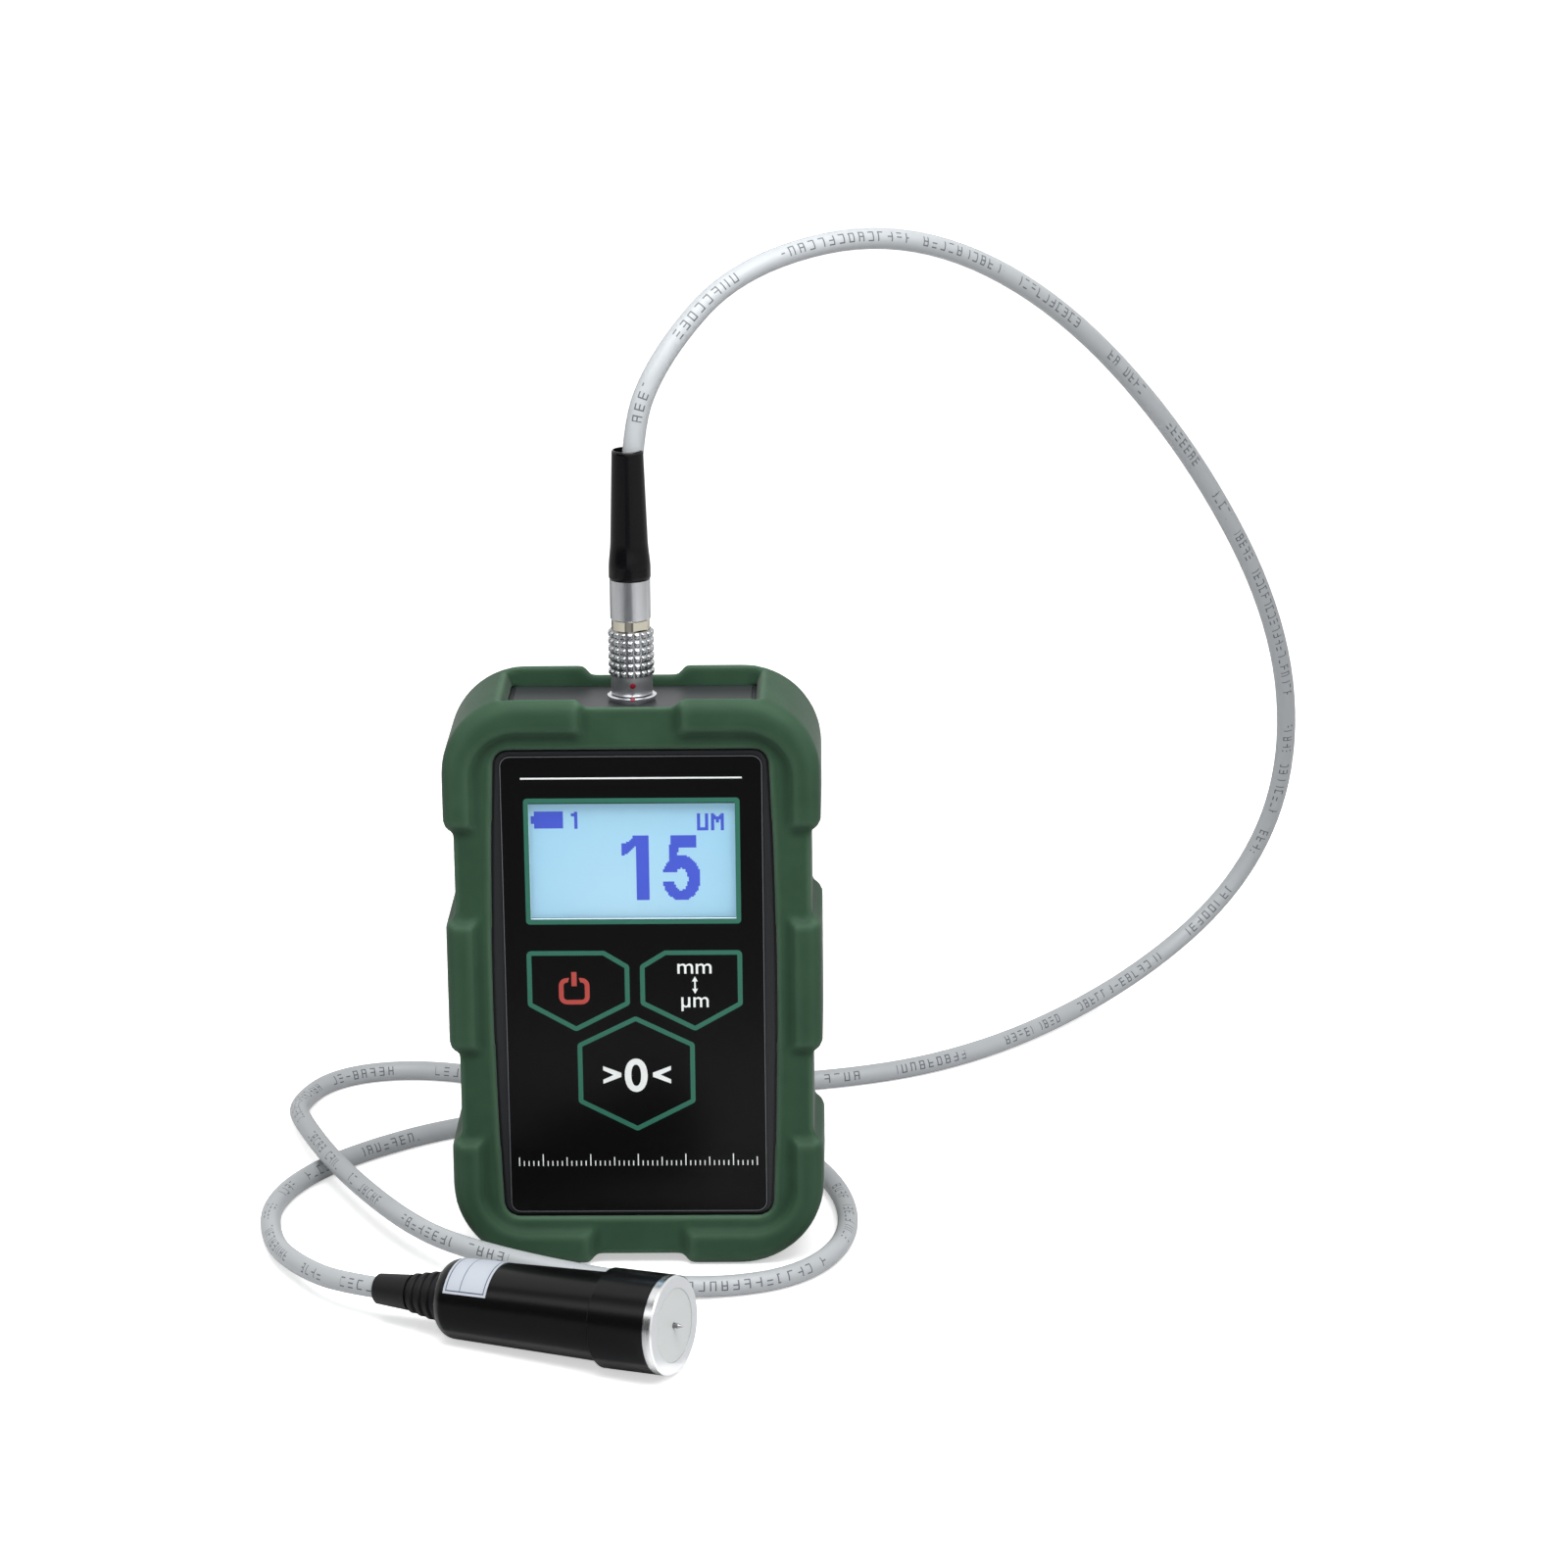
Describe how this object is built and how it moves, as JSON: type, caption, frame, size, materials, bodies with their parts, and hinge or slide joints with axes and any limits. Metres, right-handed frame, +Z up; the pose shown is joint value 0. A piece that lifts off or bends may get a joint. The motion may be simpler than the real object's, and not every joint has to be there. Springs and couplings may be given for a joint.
{
  "type": "surface profile gauge",
  "caption": "Handheld surface profile gauge in a rubber holster, with keypad, display, push-pull plug, cable and a round probe with a sprung needle.",
  "frame": {"origin": "on the surface that the gauge stands on, midway between the holster's feet and at its mid depth, on the panel socket's axis", "axes": "+Z up along the panel socket's axis, +X to the right of the display, +Y to the back; the display faces -Y"},
  "size_m": [0.2377, 0.2581, 0.2144],
  "materials": {
    "holster_rubber": "matte",
    "case_plastic": "matte",
    "film_print": "gloss",
    "clear_window": "gloss",
    "lcd_glass": "gloss",
    "white_plastic": "matte",
    "panel_grey": "matte",
    "circuit_board": "satin",
    "component_black": "matte",
    "screw_steel": "satin",
    "spring_steel": "satin",
    "cell_jacket": "gloss",
    "chromed_brass": "polished",
    "nickel_brass": "satin",
    "contact_brass": "satin",
    "insulator": "matte",
    "lead_sheath": "satin",
    "relief_black": "satin",
    "cable_grey": "satin",
    "probe_black": "satin",
    "turned_aluminium": "polished",
    "face_plastic": "matte",
    "needle_steel": "polished",
    "copper_winding": "satin",
    "boot_rubber": "matte",
    "label_paper": "matte"
  },
  "bodies": {
    "unit": {"battery_cell_1": "cell_jacket", "battery_cell_2": "cell_jacket", "battery_contacts": "spring_steel", "battery_springs": "spring_steel", "bend_relief": "relief_black", "board_screws": "screw_steel", "buzzer": "component_black", "case_screws": "screw_steel", "collet": "contact_brass", "collet_nut": "nickel_brass", "display_backlight": "white_plastic", "display_frame": "component_black", "display_glass": "lcd_glass", "display_window": "clear_window", "front_shell": "case_plastic", "keypad_film": "film_print", "main_board": "circuit_board", "needle_guide": "contact_brass", "needle_spring": "spring_steel", "plug_insert": "insulator", "plug_pins": "contact_brass", "plug_shell": "nickel_brass", "probe_barrel": "probe_black", "probe_boot": "boot_rubber", "probe_cable": "cable_grey", "probe_face_disc": "face_plastic", "probe_foot": "turned_aluminium", "probe_label": "label_paper", "probe_sleeve": "probe_black", "processor_chip": "component_black", "rear_shell": "case_plastic", "rubber_holster": "holster_rubber", "sensor_coil": "copper_winding", "socket_contacts": "contact_brass", "socket_insert": "insulator", "socket_leads": "lead_sheath", "socket_nut": "nickel_brass", "socket_shell": "nickel_brass", "tact_switch_power": "component_black", "tact_switch_units": "component_black", "tact_switch_zero": "component_black", "top_end_panel": "panel_grey"},
    "release_sleeve_body": {"release_sleeve": "chromed_brass"},
    "needle_body": {"needle": "needle_steel"},
    "battery_cover_body": {"battery_cover": "case_plastic"},
    "key_power": {"key_actuator_power": "case_plastic"},
    "key_units": {"key_actuator_units": "case_plastic"},
    "key_zero": {"key_actuator_zero": "case_plastic"}
  },
  "joints": [
    {"name": "power_key_press", "type": "slide", "parent": "unit", "child": "key_power", "axis": [0, 1, 0], "range_m": [0, 0.00025], "stiffness_N_per_m": 800, "springref_m": -0.0005},
    {"name": "units_key_press", "type": "slide", "parent": "unit", "child": "key_units", "axis": [0, 1, 0], "range_m": [0, 0.00025], "stiffness_N_per_m": 800, "springref_m": -0.0005},
    {"name": "zero_key_press", "type": "slide", "parent": "unit", "child": "key_zero", "axis": [0, 1, 0], "range_m": [0, 0.00025], "stiffness_N_per_m": 800, "springref_m": -0.0005},
    {"name": "release_sleeve_pull", "type": "slide", "parent": "unit", "child": "release_sleeve_body", "axis": [0, 0, 1], "range_m": [0, 0.0015], "stiffness_N_per_m": 500, "springref_m": -0.002},
    {"name": "needle_travel", "type": "slide", "parent": "unit", "child": "needle_body", "axis": [-0.9012, 0.4299, -0.0546], "range_m": [0, 0.002], "stiffness_N_per_m": 100, "springref_m": -0.002, "deforming": ["needle_spring"]},
    {"name": "battery_cover_hinge", "type": "hinge", "parent": "unit", "child": "battery_cover_body", "pos_m": [0, 0.0112, 0.0162], "axis": [-1, 0, 0], "range_deg": [0, 80]}
  ]
}
